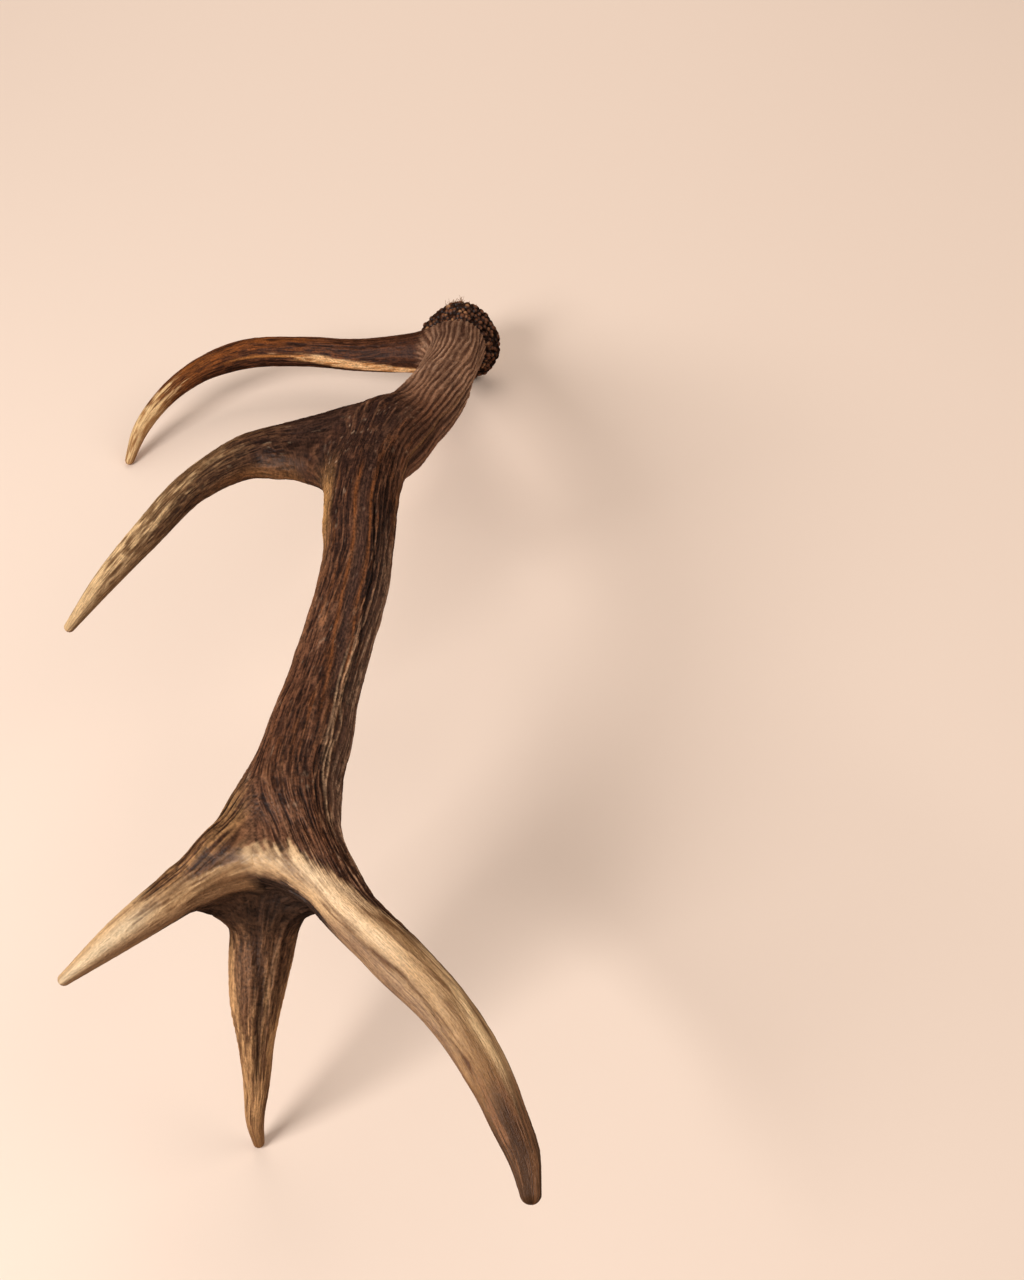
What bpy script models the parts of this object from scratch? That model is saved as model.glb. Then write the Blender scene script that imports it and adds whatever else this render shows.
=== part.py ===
"""A cast red deer antler, lying on its burr, its brow tine and its middle crown tine.

Every branch is a smooth curve through a few way points. The curves carry one rounded surface, filled
out softly where branches meet, and each sub-part is the stretch of that surface round its own curve.
Units are millimetres until the meshes are made. The burr is at +Y and the crown at -Y.
"""
import bmesh
import bpy
import numpy as np
from mathutils import Vector

MM = 0.001
GAP = 0.3                 # between two pieces at a fork, mm

# Way points of the branches: x, y, z and radius in mm, from root to tip.
BEAM = [(105.5, 373.5, 26.2, 24), (102, 318, 51, 22), (99, 246, 86, 20.8), (95, 170, 124, 22),
        (82, 90, 163, 20.5), (68, 27, 186, 19.5), (65, -20, 194, 19.5), (64, -70, 187, 18.5),
        (55, -116, 176, 18.6), (47, -158, 169, 19.6), (43.5, -194, 165, 17), (53.5, -225, 165, 15.4),
        (72.5, -256.5, 167, 12.2), (99.5, -284.5, 168, 11.7), (121, -307, 166, 10.3),
        (137, -330, 162, 9.3), (147, -351, 157, 8.2), (154, -367, 152, 6.4), (156, -378, 149, 4.5)]
BROW = [(94, 330, 48, 18), (64, 333, 43, 15.5), (24, 336, 39, 13), (-27, 342, 38, 12),
        (-70, 337, 39, 11.8), (-105, 318, 37, 9.5), (-133, 288, 29, 7.4), (-149, 264, 16, 5.8),
        (-156, 246, 3, 3.5)]
TREZ = [(64, 66, 172, 14), (43, 67, 168, 18.5), (12, 65, 167, 14.3), (-16, 50, 170, 12.4),
        (-39, 25, 172, 10), (-62, -14, 168, 8.4), (-82, -45, 160, 6.2), (-98, -69, 150, 3)]
FRONT = [(45.5, -165, 167.5, 10), (37, -188, 165, 12), (24, -208, 162, 13), (11, -228, 160, 13),
         (-6, -243, 158, 11), (-30, -263, 154, 8), (-53.5, -283, 148, 3)]
MIDDLE = [(38, -199, 148, 13), (32.5, -217, 134, 16), (26.5, -243, 109, 15.5), (23, -263, 88, 12.3),
          (21, -276, 68, 9), (19, -287, 44, 6.6), (16, -296, 20, 4.6), (16, -300, 3, 3)]
RIM = [(12, -229, 167, 7), (28, -233, 171, 7), (48, -238, 170, 7)]
HOLLOW = [(-6, -235, 150, 5), (10, -232, 137, 9), (28, -228, 128, 10), (56, -238, 145, 7)]
WEB = [(10, 46, 170, 6), (36, 35.5, 175, 10.3), (53, 4, 186.5, 9), (60, -30, 189, 8)]

# Softness of the hollow where each branch leaves the antler, mm
BLENDS = [0, 16, 34, 26, 34, 16, 22, 14]

# Where the pieces part, as lengths along their curves in mm
TREZ_CUT = 410            # along the beam, just past the trez fork
REAR_CUT = 665            # along the beam, where the rear tine leaves the crown
BROW_CUT = 42
TREZ_CUT_OFF = 60
FRONT_CUT = 97
MIDDLE_CUT = 58
CUT_SPAN = 2.6            # how far a cut reaches round its branch, in radii of the branch

# A place inside each piece, as a length along its curve in mm
LOWER_PLACE = 205
UPPER_PLACE = 540
REAR_PLACE = 760
BROW_PLACE = 200
TREZ_PLACE = 150
FRONT_PLACE = 115
MIDDLE_PLACE = 120

# The burr, in mm, along its own axis from the cut face
SEAL_RADIUS = 25
BURR_RADIUS = 31.5
PEARLS = 34
PEARL_HEIGHT = 2.4
PEARL_COLUMNS = 3         # mesh columns in each pearl
BURR_PROFILE = [(0, SEAL_RADIUS), (1.5, 27.5), (5, 30.5), (9, BURR_RADIUS), (14, 29.5), (21, 26), (27, 19)]
SWELL_AT = [0, 45, 80, 115, 150, 180, 225, 255, 300, 330]       # places round the ring, degrees
SWELL = [2.2, -0.8, 2.8, 1.5, -0.5, -1, 0, 1.8, 0.6, 0.4]       # how far the ring bulges there
BURR_OVERLAP = 8          # how deep the beam reaches into the ring, from the cut face

# Lengthwise ridges of the beam and the tines
RIDGES = 9
RIDGE_HEIGHT = 1.5
RIDGE_TURN = 0.0016       # slow twist of the ridges, radians per mm
RIDGE_SWAY = 0.9          # how far the ridges wind to and fro, in parts of a ridge
RIDGE_SWAY_LENGTH = 70    # mm of branch for each radian of the winding
FORK_FADE = 3             # mm past its own round surface where a branch's ridges end
TIP_FADE = 150            # mm before the tip where the ridges start to get lower

# Fineness
STEP = 4                  # spacing of the points along a branch's curve, mm
TUBE_COLUMNS = 24
VOXEL = 3.0               # cells of the joined surface, mm
KEPT = 0.145              # share of the fine surface's triangles that is kept
EASE = 0.9                # share of the way to the surface that one step of the fitting goes
SHARP = 60                # edges steeper than this many degrees stay sharp
MERGE = 1e-6              # vertices closer than this to a cut count as on it, m

DARK = (0.16, 0.10, 0.065)
RED = (0.22, 0.11, 0.055)
TAN = (0.42, 0.29, 0.17)
ROUGHNESS = 0.5


def curve(way_points):
    """Points on a smooth curve through the way points, a cubic between each pair of them."""
    points = np.array(way_points, float)
    span = np.linalg.norm(np.diff(points[:, :3], axis=0), axis=1)
    at = np.concatenate([[0], np.cumsum(span)])
    slope = np.diff(points, axis=0) / span[:, None]
    weight = span[:-1, None] / (span[:-1] + span[1:])[:, None]
    tangent = np.vstack([slope[:1], slope[:-1] * (1 - weight) + slope[1:] * weight, slope[-1:]])
    s = np.linspace(0, at[-1], round(at[-1] / STEP) + 1)
    k = np.clip(np.searchsorted(at, s, side="right") - 1, 0, len(span) - 1)
    h = span[k, None]
    t = (s - at[k])[:, None] / h
    return ((2 * t**3 - 3 * t**2 + 1) * points[k] + (t**3 - 2 * t**2 + t) * h * tangent[k]
            + (3 * t**2 - 2 * t**3) * points[k + 1] + (t**3 - t**2) * h * tangent[k + 1])


def lengths(path):
    """Length along the path at each of its points."""
    steps = np.linalg.norm(np.diff(path[:, :3], axis=0), axis=1)
    return np.concatenate([[0], np.cumsum(steps)])


def unit(vectors):
    return vectors / np.linalg.norm(vectors, axis=-1, keepdims=True)


def frames(path):
    """Tangent, up and side directions at each point of the path, carried along without twist."""
    tangent = unit(np.gradient(path[:, :3], axis=0))
    up = np.zeros_like(tangent)
    up[0] = unit(np.cross(np.cross(tangent[0], (0, 0, 1)), tangent[0]))
    for i in range(1, len(path)):
        carried = up[i - 1] - tangent[i] * (up[i - 1] @ tangent[i])
        up[i] = unit(carried)
    return tangent, up, np.cross(tangent, up)


def stations(path, s):
    """Centre, radius, tangent, up and side at the lengths s along the path."""
    at = lengths(path)
    rows = np.hstack([path, *frames(path)])
    found = np.stack([np.interp(s, at, column) for column in rows.T], axis=1)
    return found[:, :3], found[:, 3], unit(found[:, 4:7]), unit(found[:, 7:10]), unit(found[:, 10:13])


def distance(points, path):
    """Distance of the points to the round surface along the path, negative inside it."""
    least = np.full(len(points), np.inf)
    for start, end in zip(path, path[1:]):
        along = end - start
        out = points - start[:3]
        t = np.clip(out @ along[:3] / (along[:3] @ along[:3]), 0, 1)
        out -= t[:, None] * along[:3]
        reach = np.sqrt(np.einsum("ij,ij->i", out, out)) - start[3] - t * along[3]
        least = np.minimum(least, reach)
    return least


def soft_min(a, b, width):
    """The smaller of two distances, rounded over the width where they are nearly equal."""
    mix = np.clip(0.5 + 0.5 * (b - a) / width, 0, 1)
    return b * (1 - mix) + a * mix - width * mix * (1 - mix)


def field(points):
    """Distance of the points to the whole antler's surface, negative inside it."""
    result = distance(points, PATHS[0])
    for path, blend in zip(PATHS[1:], BLENDS[1:]):
        result = soft_min(result, distance(points, path), blend)
    return result


def project(points):
    """The points moved onto the antler's surface, and the surface's outward direction there."""
    tetrahedron = np.array([(1, 1, 1), (1, -1, -1), (-1, 1, -1), (-1, -1, 1)]) * 0.5
    for _ in range(4):
        slope = sum(field(points + corner)[:, None] * corner for corner in tetrahedron)
        points = points - EASE * field(points)[:, None] * unit(slope)
    return points, unit(slope)


def ridges(points):
    """Height of the lengthwise ridges at points on the surface, fading out at forks and at tips."""
    height = np.zeros(len(points))
    for path in PATHS[:5]:
        own = distance(points, path)
        rows = np.hstack([path, *frames(path)])
        near = np.argmin(np.linalg.norm(points[:, None] - path[:, :3], axis=2), axis=1)
        out = points - path[near, :3]
        angle = np.arctan2((out * rows[near, 10:13]).sum(1), (out * rows[near, 7:10]).sum(1))
        s = lengths(path)
        sway = RIDGE_SWAY * np.sin(s[near] / RIDGE_SWAY_LENGTH)
        wave = np.cos(RIDGES * (angle + RIDGE_TURN * s[near]) + sway)
        fade = np.clip(1 - own / FORK_FADE, 0, 1) * np.clip((s[-1] - s[near]) / TIP_FADE, 0, 1)
        height += RIDGE_HEIGHT * wave * fade
    return height


def add_tube(mesh, path):
    """Add a closed round tube along the path to the mesh, with rounded-off ends."""
    tangent, up, side = frames(path)
    angle = np.linspace(0, 2 * np.pi, TUBE_COLUMNS, endpoint=False)[:, None]
    rings = []
    for centre, u, v in zip(path, up, side):
        ring = centre[:3] + centre[3] * (u * np.cos(angle) + v * np.sin(angle))
        rings.append([mesh.verts.new(point * MM) for point in ring])
    for a, b in zip(rings, rings[1:]):
        for i in range(TUBE_COLUMNS):
            mesh.faces.new((a[i - 1], a[i], b[i], b[i - 1]))
    tip = mesh.verts.new((path[-1, :3] + tangent[-1] * path[-1, 3]) * MM)
    for i in range(TUBE_COLUMNS):
        mesh.faces.new((rings[-1][i - 1], rings[-1][i], tip))
    mesh.faces.new(rings[0])


def to_object(name, mesh):
    """An object that holds the mesh."""
    data = bpy.data.meshes.new(name)
    bmesh.ops.triangulate(mesh, faces=mesh.faces)
    mesh.to_mesh(data)
    mesh.free()
    new_object = bpy.data.objects.new(name, data)
    bpy.context.collection.objects.link(new_object)
    return new_object


def apply_modifiers(mesh_object):
    """Replace the object's mesh with the one that its modifiers make."""
    depsgraph = bpy.context.evaluated_depsgraph_get()
    made = bpy.data.meshes.new_from_object(mesh_object.evaluated_get(depsgraph))
    mesh_object.modifiers.clear()
    mesh_object.data = made


def body():
    """The whole antler without its burr, as one closed surface."""
    tubes = bmesh.new()
    for path in PATHS:
        add_tube(tubes, path)
    bmesh.ops.recalc_face_normals(tubes, faces=tubes.faces)
    antler = to_object("antler", tubes)
    remesh = antler.modifiers.new("join", "REMESH")
    remesh.mode = "VOXEL"
    remesh.voxel_size = VOXEL * MM
    apply_modifiers(antler)
    count = len(antler.data.vertices)
    points = np.empty(count * 3)
    antler.data.vertices.foreach_get("co", points)
    points, outward = project(points.reshape(-1, 3) / MM)
    points += ridges(points)[:, None] * outward
    antler.data.vertices.foreach_set("co", (points * MM).ravel())
    antler.data.update()
    decimate = antler.modifiers.new("thin", "DECIMATE")
    decimate.ratio = KEPT
    apply_modifiers(antler)
    return antler


def burr():
    """The ring of pearls round the antler's base, with the flat cut face behind it."""
    centre, _, tangent, up, side = stations(PATHS[0], np.zeros(1))
    columns = PEARLS * PEARL_COLUMNS
    angle = np.arange(columns) * 2 * np.pi / columns
    profile = np.array(BURR_PROFILE, float)
    bulge = np.sin(np.linspace(0, np.pi, len(profile)))[:, None]
    pearl = np.abs(np.cos(angle * PEARLS / 2)) - 0.5
    swell = np.interp(angle, np.radians(SWELL_AT), SWELL, period=2 * np.pi)
    radius = profile[:, 1, None] + bulge * (PEARL_HEIGHT * pearl + swell)
    way = up * np.cos(angle)[:, None] + side * np.sin(angle)[:, None]
    points = centre + profile[:, 0, None, None] * tangent + radius[..., None] * way
    mesh = bmesh.new()
    rings = [[mesh.verts.new(point * MM) for point in ring] for ring in points]
    for a, b in zip(rings, rings[1:]):
        for i in range(columns):
            mesh.faces.new((a[i - 1], a[i], b[i], b[i - 1]))
    mesh.faces.new(rings[0])
    mesh.faces.new(rings[-1])
    bmesh.ops.recalc_face_normals(mesh, faces=mesh.faces)
    return to_object("burr_ring", mesh)


def trim_base(antler):
    """Cut the antler's base off flat inside the burr ring."""
    centre, _, tangent, _, _ = stations(PATHS[0], np.array([BURR_OVERLAP]))
    mesh = bmesh.new()
    mesh.from_mesh(antler.data)
    bmesh.ops.bisect_plane(mesh, geom=[*mesh.verts, *mesh.edges, *mesh.faces], clear_inner=True,
                           plane_co=Vector(centre[0] * MM), plane_no=Vector(tangent[0]), dist=MERGE)
    bmesh.ops.holes_fill(mesh, edges=[e for e in mesh.edges if e.is_boundary])
    mesh.to_mesh(antler.data)
    mesh.free()


def near_faces(mesh, middle, distance_mm):
    """The mesh's faces whose centres lie within a distance of a point."""
    return [f for f in mesh.faces if (f.calc_center_median() - middle).length < distance_mm * MM]


def part_at(mesh, path, s):
    """Part the mesh across a branch, at a length along it, leaving the gap between two flat faces."""
    centre, radius, tangent, _, _ = stations(path, np.array([s]))
    normal = Vector(tangent[0])
    middle = Vector(centre[0] * MM)
    span = CUT_SPAN * radius[0]
    for side in (-1, 1):
        near = near_faces(mesh, middle, span)
        edges = {e for f in near for e in f.edges}
        verts = {v for f in near for v in f.verts}
        bmesh.ops.bisect_plane(mesh, geom=[*near, *edges, *verts], dist=MERGE,
                               plane_co=middle + side * GAP / 2 * MM * normal, plane_no=normal)
    between = [f for f in near_faces(mesh, middle, span)
               if abs((f.calc_center_median() - middle).dot(normal)) < GAP / 2 * MM]
    bmesh.ops.delete(mesh, geom=between, context="FACES")
    bmesh.ops.holes_fill(mesh, edges=[e for e in mesh.edges if e.is_boundary])


def island(mesh, point):
    """The faces of the connected piece that lies nearest to the point."""
    nearest = min(mesh.faces, key=lambda f: (f.calc_center_median() - point).length)
    found = {nearest}
    edge_of_search = [nearest]
    while edge_of_search:
        face = edge_of_search.pop()
        for edge in face.edges:
            for other in edge.link_faces:
                if other not in found:
                    found.add(other)
                    edge_of_search.append(other)
    return found


def piece(mesh, name, path, s, material):
    """The named piece that holds the place at a length along its path."""
    centre, _, _, _, _ = stations(path, np.array([s]))
    own = mesh.copy()
    own.faces.ensure_lookup_table()
    kept = island(own, Vector(centre[0] * MM))
    bmesh.ops.delete(own, geom=[f for f in own.faces if f not in kept], context="FACES")
    new_object = to_object(name, own)
    new_object.data.shade_smooth()
    new_object.data.set_sharp_from_angle(angle=np.radians(SHARP))
    new_object.data.materials.append(material)


def bone(name, colour):
    """Antler bone of one colour, given as red, green and blue from 0 to 1."""
    material = bpy.data.materials.new(name)
    material.use_nodes = True
    shader = material.node_tree.nodes["Principled BSDF"]
    shader.inputs["Base Color"].default_value = (*colour, 1)
    shader.inputs["Roughness"].default_value = ROUGHNESS
    shader.inputs["Metallic"].default_value = 0
    return material


def build():
    """Make the whole antler, then part it into its seven pieces at its forks."""
    beam, brow, trez, front, middle = PATHS[:5]
    antler = body()
    trim_base(antler)
    ring = burr()
    union = antler.modifiers.new("burr", "BOOLEAN")
    union.operation = "UNION"
    union.solver = "EXACT"
    union.object = ring
    apply_modifiers(antler)
    mesh = bmesh.new()
    mesh.from_mesh(antler.data)
    bpy.data.objects.remove(antler)
    bpy.data.objects.remove(ring)

    part_at(mesh, beam, TREZ_CUT)
    part_at(mesh, beam, REAR_CUT)
    part_at(mesh, brow, BROW_CUT)
    part_at(mesh, trez, TREZ_CUT_OFF)
    part_at(mesh, front, FRONT_CUT)
    part_at(mesh, middle, MIDDLE_CUT)

    piece(mesh, "lower_beam", beam, LOWER_PLACE, bone("lower_beam_bone", DARK))
    piece(mesh, "upper_beam", beam, UPPER_PLACE, bone("upper_beam_bone", DARK))
    piece(mesh, "brow_tine", brow, BROW_PLACE, bone("brow_tine_bone", RED))
    piece(mesh, "trez_tine", trez, TREZ_PLACE, bone("trez_tine_bone", DARK))
    piece(mesh, "crown_front_tine", front, FRONT_PLACE, bone("crown_front_bone", TAN))
    piece(mesh, "crown_middle_tine", middle, MIDDLE_PLACE, bone("crown_middle_bone", DARK))
    piece(mesh, "crown_rear_tine", beam, REAR_PLACE, bone("crown_rear_bone", TAN))
    mesh.free()


for old in list(bpy.data.objects):
    bpy.data.objects.remove(old)
PATHS = [curve(points) for points in (BEAM, BROW, TREZ, FRONT, MIDDLE, RIM, WEB, HOLLOW)]
build()
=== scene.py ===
"""A red deer antler on a pale studio floor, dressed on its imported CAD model."""

import bpy
import numpy as np
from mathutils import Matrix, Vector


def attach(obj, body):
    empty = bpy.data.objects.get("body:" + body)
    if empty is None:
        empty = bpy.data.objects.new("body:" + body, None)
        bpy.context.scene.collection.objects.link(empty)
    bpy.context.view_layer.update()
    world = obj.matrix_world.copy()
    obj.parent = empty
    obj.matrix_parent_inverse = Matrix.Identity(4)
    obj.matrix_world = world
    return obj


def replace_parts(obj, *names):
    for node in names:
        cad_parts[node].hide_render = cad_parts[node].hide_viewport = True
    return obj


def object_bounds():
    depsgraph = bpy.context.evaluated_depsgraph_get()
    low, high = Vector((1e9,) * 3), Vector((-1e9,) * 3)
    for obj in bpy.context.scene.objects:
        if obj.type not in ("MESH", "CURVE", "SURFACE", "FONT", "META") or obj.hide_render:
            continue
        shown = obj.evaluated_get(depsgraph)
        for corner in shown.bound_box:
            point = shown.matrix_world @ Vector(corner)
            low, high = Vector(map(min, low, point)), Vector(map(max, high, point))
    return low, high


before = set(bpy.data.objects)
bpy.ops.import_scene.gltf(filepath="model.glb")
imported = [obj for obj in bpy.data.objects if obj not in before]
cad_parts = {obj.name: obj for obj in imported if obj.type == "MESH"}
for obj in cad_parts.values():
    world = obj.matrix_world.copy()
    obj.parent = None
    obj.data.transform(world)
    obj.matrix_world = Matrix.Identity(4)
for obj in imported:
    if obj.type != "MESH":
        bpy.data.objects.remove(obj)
cad_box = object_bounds()

# ---- Camera
# A short telephoto lens in front of the crown, 0.7 m up and pitched down 48 degrees, so that the
# antler runs away from the viewer from its crown to its burr. Upright frame, four wide to five high.
camera_data = bpy.data.cameras.new("camera")
camera_data.sensor_fit = "VERTICAL"
camera_data.sensor_height = 36
camera_data.lens = 37.69
camera = bpy.data.objects.new("camera", camera_data)
camera.location = (0.1485, -0.574, 0.700)
camera.rotation_euler = (np.radians(42), 0, 0)
bpy.context.collection.objects.link(camera)
bpy.context.scene.camera = camera
bpy.context.scene.view_settings.view_transform = "Standard"


# ---- Floor
# A sheet of pale peach background paper, uncoated and seamless, wide enough to fill the whole picture.
# Its tooth takes the shine off the light, so the eye sees one soft even tone.
def linear(hex_colour):
    """Linear colour with alpha from an sRGB hex value."""
    channels = np.array([int(hex_colour[i:i + 2], 16) for i in (1, 3, 5)]) / 255
    low = channels / 12.92
    high = ((channels + 0.055) / 1.055) ** 2.4
    return (*np.where(channels <= 0.04045, low, high), 1.0)


def add_node(material, kind, settings=None, links=None):
    """Add one node: settings are its properties and its socket values, links its linked sockets."""
    node = material.node_tree.nodes.new(kind)
    for name, value in (settings or {}).items():
        if name in node.inputs:
            node.inputs[name].default_value = value
        else:
            setattr(node, name, value)
    for name, socket in (links or {}).items():
        material.node_tree.links.new(socket, node.inputs[name])
    return node


def new_material(name):
    """An empty node material and its Principled shader."""
    material = bpy.data.materials.new(name)
    material.use_nodes = True
    return material, material.node_tree.nodes["Principled BSDF"]


FLOOR_REACH = 9.0                # from the middle to each edge, m
paper, paper_shader = new_material("peach_background_paper")
paper_shader.inputs["Base Color"].default_value = linear("#edd6c4")
paper_shader.inputs["Roughness"].default_value = 0.9
paper_shader.inputs["Specular IOR Level"].default_value = 0.2
floor_mesh = bpy.data.meshes.new("floor")
corner = np.array([(-1, -1, 0), (1, -1, 0), (1, 1, 0), (-1, 1, 0)]) * FLOOR_REACH
floor_mesh.from_pydata(corner.tolist(), [], [(0, 1, 2, 3)])
floor_mesh.materials.append(paper)
floor = bpy.data.objects.new("floor", floor_mesh)
floor.visible_glossy = False     # it lights the bone from below and leaves no glare on it
bpy.context.collection.objects.link(floor)


# ---- Studio light
# One soft box low at the front left, whose shadows run away to the back right, a weaker one at the
# right, and pale walls all round that fill the shadows with warm light.
def soft_box(name, place, aim, size, watts, colour):
    """A square area light at a place, turned to face another."""
    light = bpy.data.lights.new(name, "AREA")
    light.size = size
    light.energy = watts
    light.color = linear(colour)[:3]
    lamp = bpy.data.objects.new(name, light)
    lamp.location = place
    way = Vector(aim) - Vector(place)
    lamp.rotation_euler = way.to_track_quat("-Z", "Y").to_euler()
    bpy.context.collection.objects.link(lamp)
    return lamp


soft_box("front_left_soft_box", (-1.12, -1.02, 1.2), (0.0, 0.0, 0.05), 0.8, 35, "#ffffff")
back = soft_box("back_soft_box", (-0.1, 2.0, 1.9), (0.1, 0.8, 0.0), 2.2, 34, "#fffaf6")
back.visible_glossy = False      # a polariser on it keeps its glare off the bone
soft_box("right_soft_box", (1.7, 0.0, 1.6), (0.2, 0.1, 0.1), 1.4, 13, "#fff6ee")
walls = bpy.data.worlds.new("pale_walls")
walls.use_nodes = True
walls.node_tree.nodes["Background"].inputs["Color"].default_value = linear("#fff6ee")
walls.node_tree.nodes["Background"].inputs["Strength"].default_value = 0.21
bpy.context.scene.world = walls
walls.cycles_visibility.glossy = False       # matt walls, which give light and no shine


# ---- Course of the antler
# The antler is one grown bone. Each branch follows a smooth line from its root to its tip, and where
# branches meet the bone fills the fork with a soft web. Each way point is x, y, z and a radius, mm.
BEAM = [(105.5, 373.5, 26.2, 24), (102, 318, 51, 22), (99, 246, 86, 20.8), (95, 170, 124, 22),
        (82, 90, 163, 20.5), (68, 27, 186, 19.5), (65, -20, 194, 19.5), (64, -70, 187, 18.5),
        (55, -116, 176, 18.6), (47, -158, 169, 19.6), (43.5, -194, 165, 17), (53.5, -225, 165, 15.4),
        (72.5, -256.5, 167, 12.2), (99.5, -284.5, 168, 11.7), (121, -307, 166, 10.3),
        (137, -330, 162, 9.3), (147, -351, 157, 8.2), (154, -367, 152, 6.4), (156, -378, 149, 4.5)]
BROW = [(94, 330, 48, 18), (64, 333, 43, 15.5), (24, 336, 39, 13), (-27, 342, 38, 12),
        (-70, 337, 39, 11.8), (-105, 318, 37, 9.5), (-133, 288, 29, 7.4), (-149, 264, 16, 5.8),
        (-156, 246, 3, 3.5)]
TREZ = [(64, 66, 172, 14), (43, 67, 168, 18.5), (12, 65, 167, 14.3), (-16, 50, 170, 12.4),
        (-39, 25, 172, 10), (-62, -14, 168, 8.4), (-82, -45, 160, 6.2), (-98, -69, 150, 3)]
FRONT = [(45.5, -165, 167.5, 10), (37, -188, 165, 12), (24, -208, 162, 13), (11, -228, 160, 13),
         (-6, -243, 158, 11), (-30, -263, 154, 8), (-53.5, -283, 148, 3)]
MIDDLE = [(38, -199, 148, 13), (32.5, -217, 134, 16), (26.5, -243, 109, 15.5), (23, -263, 88, 12.3),
          (21, -276, 68, 9), (19, -287, 44, 6.6), (16, -296, 20, 4.6), (16, -300, 3, 3)]
RIM = [(12, -229, 167, 7), (28, -233, 171, 7), (48, -238, 170, 7)]
HOLLOW = [(-6, -235, 150, 5), (10, -232, 137, 9), (28, -228, 128, 10), (56, -238, 145, 7)]
WEB = [(10, 46, 170, 6), (36, 35.5, 175, 10.3), (53, 4, 186.5, 9), (60, -30, 189, 8)]
BLENDS = [0, 16, 34, 26, 34, 16, 22, 14]     # softness of each branch's fork, mm
STEP = 5                                     # spacing of the points on a branch's line, mm
FEEL = 45                                    # a branch isn't felt further off than this, mm
FAR_OFF = 1e3                                # its distance from there on, mm


def course(way_points):
    """Points on a smooth line through the way points, a cubic between each pair of them."""
    points = np.array(way_points, float)
    span = np.linalg.norm(np.diff(points[:, :3], axis=0), axis=1)
    at = np.concatenate([[0], np.cumsum(span)])
    slope = np.diff(points, axis=0) / span[:, None]
    weight = span[:-1, None] / (span[:-1] + span[1:])[:, None]
    tangent = np.vstack([slope[:1], slope[:-1] * (1 - weight) + slope[1:] * weight, slope[-1:]])
    s = np.linspace(0, at[-1], round(at[-1] / STEP) + 1)
    k = np.clip(np.searchsorted(at, s, side="right") - 1, 0, len(span) - 1)
    h = span[k, None]
    t = (s - at[k])[:, None] / h
    return ((2 * t**3 - 3 * t**2 + 1) * points[k] + (t**3 - 2 * t**2 + t) * h * tangent[k]
            + (3 * t**2 - 2 * t**3) * points[k + 1] + (t**3 - t**2) * h * tangent[k + 1])


def unit(vectors):
    """Vectors brought to length 1."""
    return vectors / np.linalg.norm(vectors, axis=-1, keepdims=True)


class Branch:
    """A branch's line, with the length and the tangent, up and side directions at each point of it."""

    def __init__(self, way_points):
        line = course(way_points)
        self.centre, self.radius = line[:, :3], line[:, 3]
        steps = np.linalg.norm(np.diff(self.centre, axis=0), axis=1)
        self.at = np.concatenate([[0], np.cumsum(steps)])
        self.length = self.at[-1]
        self.tangent = unit(np.gradient(self.centre, axis=0))
        up = np.zeros_like(self.tangent)
        up[0] = unit(np.cross(np.cross(self.tangent[0], (0, 0, 1)), self.tangent[0]))
        for i in range(1, len(up)):
            up[i] = unit(up[i - 1] - self.tangent[i] * (up[i - 1] @ self.tangent[i]))
        self.up, self.side = up, np.cross(self.tangent, up)
        reach = self.radius.max() + FEEL
        self.low, self.high = self.centre.min(0) - reach, self.centre.max(0) + reach

    def station(self, s):
        """Centre, radius, tangent, up and side at lengths along the branch."""
        rows = np.hstack([self.centre, self.radius[:, None], self.tangent, self.up, self.side])
        found = np.stack([np.interp(s, self.at, column) for column in rows.T], axis=-1)
        return (found[..., :3], found[..., 3], unit(found[..., 4:7]), unit(found[..., 7:10]),
                unit(found[..., 10:13]))

    def near(self, points):
        """Numbers of the points that are close enough to feel the branch."""
        return np.flatnonzero(((points > self.low) & (points < self.high)).all(1))

    def spans(self, points):
        """For each span of the line: its number, the share of it that lies before the place nearest to
        each point, the way out from there to the point, and the distance to the round surface."""
        for k in range(len(self.centre) - 1):
            along = self.centre[k + 1] - self.centre[k]
            out = points - self.centre[k]
            t = np.clip(out @ along / (along @ along), 0, 1)
            out -= t[:, None] * along
            grown = self.radius[k] + t * (self.radius[k + 1] - self.radius[k])
            yield k, t, out, np.sqrt(np.einsum("ij,ij->i", out, out)) - grown

    def distance(self, points):
        """Distance to the round surface along the branch, negative inside it."""
        result = np.full(len(points), FAR_OFF)
        close = self.near(points)
        least = result[close]
        for _, _, _, reach in self.spans(points[close]):
            least = np.minimum(least, reach)
        result[close] = least
        return result

    def place(self, points):
        """Distance, length along the branch and angle round it, at the nearest place on its line."""
        result = np.zeros((3, len(points)))
        result[0] = FAR_OFF
        close = self.near(points)
        found = result[:, close]
        for k, t, out, reach in self.spans(points[close]):
            closer = np.flatnonzero(reach < found[0])
            t, out = t[closer, None], out[closer]
            sideways = (out * (self.side[k] * (1 - t) + self.side[k + 1] * t)).sum(1)
            upwards = (out * (self.up[k] * (1 - t) + self.up[k + 1] * t)).sum(1)
            found[0, closer] = reach[closer]
            found[1, closer] = self.at[k] + t[:, 0] * (self.at[k + 1] - self.at[k])
            found[2, closer] = np.arctan2(sideways, upwards)
        result[:, close] = found
        return result


BRANCHES = [Branch(points) for points in (BEAM, BROW, TREZ, FRONT, MIDDLE, RIM, WEB, HOLLOW)]
beam, brow, trez, front, middle = BRANCHES[:5]


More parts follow.
